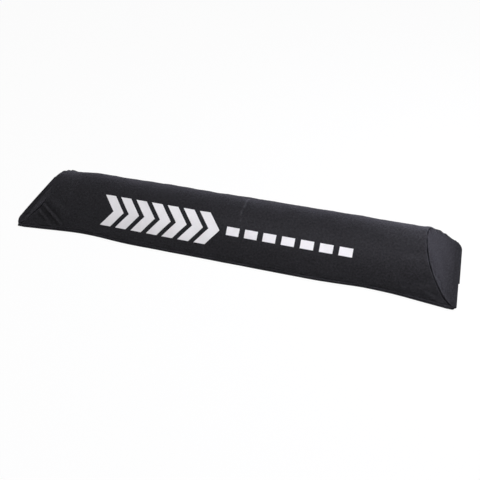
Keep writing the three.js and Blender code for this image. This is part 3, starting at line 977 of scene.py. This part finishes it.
def make_flap(name, ends, profile, free_first, corner, node, seed_shift):
    """A hemmed flap: its profile carried from end to end, and drawn in at the fold's two ends."""
    left, right = -ends[0], ends[1]
    stations = (left + right) / 2 + eased_shares(FLAP_COLUMNS, FLAP_EASE) * (right - left) / 2
    rows = round(resample(profile(0.0), 1)[1][-1] / FLAP_STEP)
    lines = [resample(profile(x), rows) for x in stations]
    middle = np.array([joined(x, *line.T) for x, (line, _) in zip(stations, lines)])
    run = np.array([place for _, place in lines])
    from_free = run if free_first else run[:, -1:] - run
    drawn = corner[0] * quarter_round(1 - (run[:, -1:] - from_free) / corner[1])
    middle[..., 0] *= 1 - drawn / (right - left) * 2
    edge = np.minimum(from_free, np.minimum(stations - left, right - stations)[:, None])
    normal = grid_normals(middle)
    place = stations[:, None] / FLAP_WAVE_LENGTH + seed_shift
    wave = FLAP_WAVE_DEPTH * flap_field.at(place, run / FLAP_WAVE_LENGTH)
    thin = rounded_edge(edge, FLAP_CLOTH / 2) + hem_groove(edge, FLAP_STITCH_INSET, FLAP_STITCH_DEPTH)
    half = FLAP_CLOTH / 2 - np.minimum(thin, FLAP_THINNED)
    off_floor = np.clip((middle[..., 2] - FLAP_CLOTH / 2) / MM, 0, 1)
    shifted = middle + normal * (wave * off_floor * 0.5)[..., None]
    outer = shifted + normal * half[..., None]
    inner = shifted - normal * half[..., None]
    cloth = joined(stations[:, None], run)
    piece = make_shell(name, outer, inner, cloth, flap_cloth, [node])
    return piece


def make_foam():
    """The foam bar inside the cover."""
    columns, rows = 60, 40
    share = np.linspace(-1, 1, columns + 1)[:, None]
    start = foot_angle(FOAM_INSET)
    angle = np.linspace(start, math.pi - start, rows + 1)[None, :]
    x = share * (end_x(section_height(angle, FOAM_INSET), RIGHT) - 2 * FOAM_INSET)
    outer = pad_points(x, np.broadcast_to(angle, x.shape), FOAM_INSET)
    outer[..., 2] = np.maximum(outer[..., 2], FOOT_Z)
    number = lambda column, row: column * (rows + 1) + row
    i, j = np.arange(columns), np.arange(rows // 2)
    k = rows - j
    corners = [
        (number(i, 0), number(i, rows), number(i + 1, rows), number(i + 1, 0)),
        (number(columns, j), number(columns, k), number(columns, k - 1), number(columns, j + 1)),
        (number(0, k), number(0, j), number(0, j + 1), number(0, k - 1)),
    ]
    faces = np.concatenate([grid_faces(columns, rows)] + [np.stack(quad, axis=-1) for quad in corners])
    piece = make_piece("foam_bar", outer, faces, grey_foam, ["foam_core"])
    return piece


# Print, as in the part's source
PRINT_LIFT = 0.10 * MM
PRINT_FILM = 0.12 * MM
PRINT_ROOT = 0.04 * MM  # height of the film's underside

# Rows of ink fields: kind, count, X of the first, width and space along X, how far its tip leans out,
# girth at its foot and its head, columns and rows
PRINT_ROWS = [
    ("chevron", 7, -205 * MM, 18 * MM, 9 * MM, 20 * MM, 25 * MM, 75 * MM, 16, 48),
    ("dash", 7, 6 * MM, 20 * MM, 9 * MM, 0, 45 * MM, 58 * MM, 20, 12),
]


def make_prints():
    """Chevrons, whose sides lean out to a tip half way up, and dashes, whose sides are straight."""
    for kind, count, first, width, space, tip, foot, head, columns, rows in PRINT_ROWS:
        share = np.linspace(0, 1, rows + 1)[None, :]
        girth = foot + (head - foot) * share
        for n in range(count):
            side = first + n * (width + space) + tip * (1 - np.abs(2 * share - 1))
            x = side + width * np.linspace(0, 1, columns + 1)[:, None]
            angle = np.broadcast_to(angle_at(girth), x.shape)
            outer = cover_points(x, angle, PRINT_LIFT + PRINT_FILM)
            inner = cover_points(x, angle, PRINT_ROOT)
            node = f"print_{kind}_{n + 1}"
            cloth = joined(x, girth)
            make_shell(f"ink_{kind}_{n + 1}", outer, inner, cloth, white_print, [node])


STITCH_LENGTH = 3.0 * MM
STITCH_PITCH = 4.0 * MM
STITCH_RADIUS = 0.28 * MM
STITCH_SIDES = 6
STITCH_RINGS = 5
STITCH_BOW = 0.25  # of the radius, by which a stitch rises in its middle
STITCH_SINK = 0.1  # of the radius, by which it sinks into the cloth


def stitch_faces():
    """Faces of one stitch, whose points are numbered ring by ring and then its two ends."""
    faces = []
    for ring in range(STITCH_RINGS - 1):
        for k in range(STITCH_SIDES):
            a, b = ring * STITCH_SIDES + k, ring * STITCH_SIDES + (k + 1) % STITCH_SIDES
            faces.append((a, b, b + STITCH_SIDES, a + STITCH_SIDES))
    first, last = STITCH_RINGS * STITCH_SIDES, STITCH_RINGS * STITCH_SIDES + 1
    top = (STITCH_RINGS - 1) * STITCH_SIDES
    for k in range(STITCH_SIDES):
        after = (k + 1) % STITCH_SIDES
        faces.append((first, after, k))
        faces.append((last, top + k, top + after))
    return faces


def stitches_along(path, up):
    """Points of each stitch along one path, with up as the side on which they lie."""
    run = run_along(path)
    count = int(run[-1] / STITCH_PITCH)
    margin = (run[-1] - count * STITCH_PITCH) / 2
    middle = margin + (np.arange(count) + 0.5) * STITCH_PITCH
    at = lambda place, values: joined(*(np.interp(place, run, column) for column in values.T))
    start = at(middle - STITCH_LENGTH / 2, path)
    end = at(middle + STITCH_LENGTH / 2, path)
    centre, reach = (start + end) / 2, (end - start) / 2
    side = unit(np.cross(reach, at(middle, up)))
    rise = unit(np.cross(side, reach))
    points = []
    for t in np.linspace(-1, 1, STITCH_RINGS + 2)[1:-1]:
        size = STITCH_RADIUS * math.sqrt(1 - t * t)
        bow = STITCH_RADIUS * (STITCH_BOW * (1 - t * t) - STITCH_SINK)
        for k in range(STITCH_SIDES):
            turn = 2 * math.pi * k / STITCH_SIDES
            spoke = size * math.cos(turn) * side + (bow + size * math.sin(turn)) * rise
            points.append(centre + reach * t + spoke)
    return np.stack(points + [centre - reach, centre + reach], axis=1)


def make_stitches(name, lines):
    """Every stitch of some lines, each a path and its up side, as one piece."""
    stitches = [stitches_along(path, np.broadcast_to(up, path.shape).astype(float)) for path, up in lines]
    points = np.concatenate(stitches) + (0, AXIS_Y, 0)
    count, size = points.shape[:2]
    one = stitch_faces()
    faces = [tuple(k + n * size for k in face) for n in range(count) for face in one]
    mesh = bpy.data.meshes.new(name)
    mesh.from_pydata(points.reshape(-1, 3).tolist(), [], faces)
    return place_piece(name, mesh, black_thread)


END_HEM_FLOOR = BASE_TOP + COVER_CLOTH + 0.2 * MM
END_HEM_MARGIN = 4 * MM
MAIN_HEM_GIRTH = 5.5 * MM
MAIN_HEM_MARGIN = 12 * MM
FLAP_FLOOR = 0.12 * MM  # height of the middle of the stitches under the flaps
TAPE_STITCH_INSET = 1.5 * MM
BACK_FLAP_ROW = 60 * MM  # from the back flap's free edge to its stitch row near the fold


def end_hem_lines():
    """Stitch lines on the end covers' hems."""
    lines = []
    for end in (LEFT, RIGHT):
        x = end * (float(hem_reach(end)) - LIP_MARGIN - HEM_STITCH_INSET)
        front = END_HEM_MARGIN - float(base_distance(x, FRONT))
        back = float(base_distance(x, BACK)) - END_HEM_MARGIN
        lines.append((joined(x, np.linspace(front, back, 120), END_HEM_FLOOR), (0, 0, 1)))
    return lines


def main_hem_lines():
    """Stitch lines along the main cover's two feet."""
    lines = []
    reach = FOOT_HALF_LENGTH - MAIN_HEM_MARGIN
    x = np.linspace(-reach, reach, 500)
    for girth in (FOOT_GIRTH + MAIN_HEM_GIRTH, FULL_GIRTH - FOOT_GIRTH - MAIN_HEM_GIRTH):
        angle = float(angle_at(girth))
        path = cover_points(x, angle, 0.05 * MM)
        lines.append((path, cover_points(x, angle, 1.05 * MM) - path))
    return lines


def flap_lines():
    """Stitch lines under the flaps: their hems and the rows that hold the lower tape."""
    tape_low, tape_high = (corner.y - AXIS_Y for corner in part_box("hook_tape"))
    rows = (tape_low + TAPE_STITCH_INSET, tape_high - TAPE_STITCH_INSET, BACK_FLAP_FREE_Y + BACK_FLAP_ROW)
    back = (FLAP_STITCH_INSET - BACK_FLAP_ENDS[0], BACK_FLAP_ENDS[1] - FLAP_STITCH_INSET)
    front = (FLAP_STITCH_INSET - FRONT_FLAP_ENDS[0], FRONT_FLAP_ENDS[1] - FLAP_STITCH_INSET)
    x = np.linspace(*back, 400)
    back_y = np.linspace(BACK_FLAP_FREE_Y + 2 * MM, 60 * MM, 60)
    front_y = np.linspace(-60 * MM, BACK_FLAP_FREE_Y - 12 * MM, 50)
    paths = [joined(x, y, FLAP_FLOOR) for y in rows]
    paths += [joined(place, back_y, FLAP_FLOOR) for place in back]
    paths += [joined(place, front_y, FLAP_FLOOR) for place in front]
    return [(path, (0, 0, -1)) for path in paths]


def paint_tapes():
    """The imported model's own tapes stay, with a pile on them."""
    for node, material in (("hook_tape", hook_pile), ("loop_tape", loop_pile)):
        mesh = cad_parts[node].data
        mesh.materials.clear()
        mesh.materials.append(material)


FLOOR_REACH = 6.0
FLOOR_Z = -0.2 * MM
FLOOR_COLOUR = (0.82, 0.82, 0.82, 1)
FLOOR_GLOW = 0.95  # share of plain white that camera, glossy and transmission rays see in the floor


def make_floor():
    """A pale floor that the camera sees nearly white, with the pad's shadow kept."""
    mesh = bpy.data.meshes.new("floor")
    corners = [(-1, -1), (1, -1), (1, 1), (-1, 1)]
    mesh.from_pydata([(x * FLOOR_REACH, y * FLOOR_REACH, FLOOR_Z) for x, y in corners], [], [(0, 1, 2, 3)])
    nodes = Nodes(bpy.data.materials.new("pale_floor"))
    nodes.shade("Base Color", FLOOR_COLOUR)
    nodes.shade("Roughness", 0.9)
    nodes.shade("Specular IOR Level", 0.0)
    glow = nodes.add("ShaderNodeEmission")
    blend = nodes.add("ShaderNodeMixShader")
    nodes.feed(blend.inputs[0], nodes.times(nodes.plain_rays(), FLOOR_GLOW))
    nodes.feed(blend.inputs[1], nodes.tree.nodes["Principled BSDF"].outputs[0])
    nodes.feed(blend.inputs[2], glow.outputs[0])
    nodes.feed(nodes.tree.nodes["Material Output"].inputs[0], blend.outputs[0])
    mesh.materials.append(nodes.owner)
    add_object("floor", mesh)


WORLD_LEFT = 0.08
WORLD_RIGHT = 0.27


def make_world():
    """White to the camera and in reflections, and a soft light that grows to the right for the rest."""
    bpy.context.scene.world = bpy.data.worlds.new("studio")
    nodes = Nodes(bpy.context.scene.world)
    heading = nodes.add("ShaderNodeSeparateXYZ")
    nodes.feed(heading.inputs[0], nodes.add("ShaderNodeTexCoord").outputs["Generated"])
    soft = nodes.add("ShaderNodeMapRange")
    nodes.feed(soft.inputs["Value"], heading.outputs["X"])
    nodes.feed(soft.inputs["From Min"], -1)
    nodes.feed(soft.inputs["To Min"], WORLD_LEFT)
    nodes.feed(soft.inputs["To Max"], WORLD_RIGHT)
    level = nodes.add("ShaderNodeMix")
    nodes.feed(level.inputs[0], nodes.plain_rays())
    nodes.feed(level.inputs[2], soft.outputs[0])
    nodes.feed(level.inputs[3], 1)
    background = nodes.tree.nodes["Background"]
    nodes.feed(background.inputs["Color"], (1, 1, 1, 1))
    nodes.feed(background.inputs["Strength"], level.outputs[0])


def make_lamp(name, place, target, size, power, colour):
    """A rectangular soft lamp: its place and target in metres, and its power in watts."""
    light = bpy.data.lights.new(name, "AREA")
    light.shape = "RECTANGLE"
    light.size, light.size_y = size
    light.energy = power
    light.color = colour
    lamp = add_object(name, light)
    lamp.location = place
    lamp.rotation_euler = (Vector(target) - Vector(place)).to_track_quat("-Z", "Y").to_euler()


def make_lamps():
    make_lamp("key_softbox", (0.52, 0.12, 0.76), (0.28, 0, 0.03), (0.5, 0.5), 8.5, (0.87, 0.86, 1.0))
    make_lamp("top_softbox", (0.2, 0.1, 1.4), (0.1, 0, 0.03), (1.4, 0.8), 4, (0.97, 0.97, 1.0))
    make_lamp("front_fill", (0.1, -1.0, 1.7), (0, 0, 0.03), (1.6, 0.9), 9.5, (1.0, 0.99, 0.98))


# Camera, from a fit to the photo's outline and seams, in the pad's own coordinates
CAMERA_PLACE = (265.33 * MM, -729.88 * MM, 670.79 * MM)
CAMERA_RIGHT = (0.95375, 0.29861, -0.03454)
CAMERA_UP = (-0.17347, 0.64057, 0.74805)
CAMERA_LENS_MM = 47.23
CAMERA_SENSOR_MM = 36


def make_camera():
    data = bpy.data.cameras.new("camera")
    data.lens = CAMERA_LENS_MM
    data.sensor_width = CAMERA_SENSOR_MM
    data.sensor_fit = "AUTO"
    camera = add_object("camera", data)
    camera.location = Vector(CAMERA_PLACE) + Vector((0, AXIS_Y, 0))
    right, up = Vector(CAMERA_RIGHT).normalized(), Vector(CAMERA_UP)
    back = right.cross(up).normalized()
    up = back.cross(right)
    camera.rotation_euler = Matrix((right, up, back)).transposed().to_euler()
    bpy.context.scene.camera = camera


make_main_cover()
make_end_cover("end_cover_left", LEFT, 0.0, "end_panel_left")
make_end_cover("end_cover_right", RIGHT, 3.7, "end_panel_right")
make_base_cloth()
make_flap("flap_front", FRONT_FLAP_ENDS, front_flap_profile, True, FRONT_FLAP_CORNER, "front_flap", 0.0)
make_flap("flap_back", BACK_FLAP_ENDS, back_flap_profile, False, BACK_FLAP_CORNER, "back_flap", 5.3)
make_foam()
make_prints()
make_stitches("hem_stitches", end_hem_lines() + main_hem_lines())
make_stitches("flap_stitches", flap_lines())
paint_tapes()
make_floor()
make_world()
make_lamps()
make_camera()
bpy.context.scene.view_settings.view_transform = "Standard"
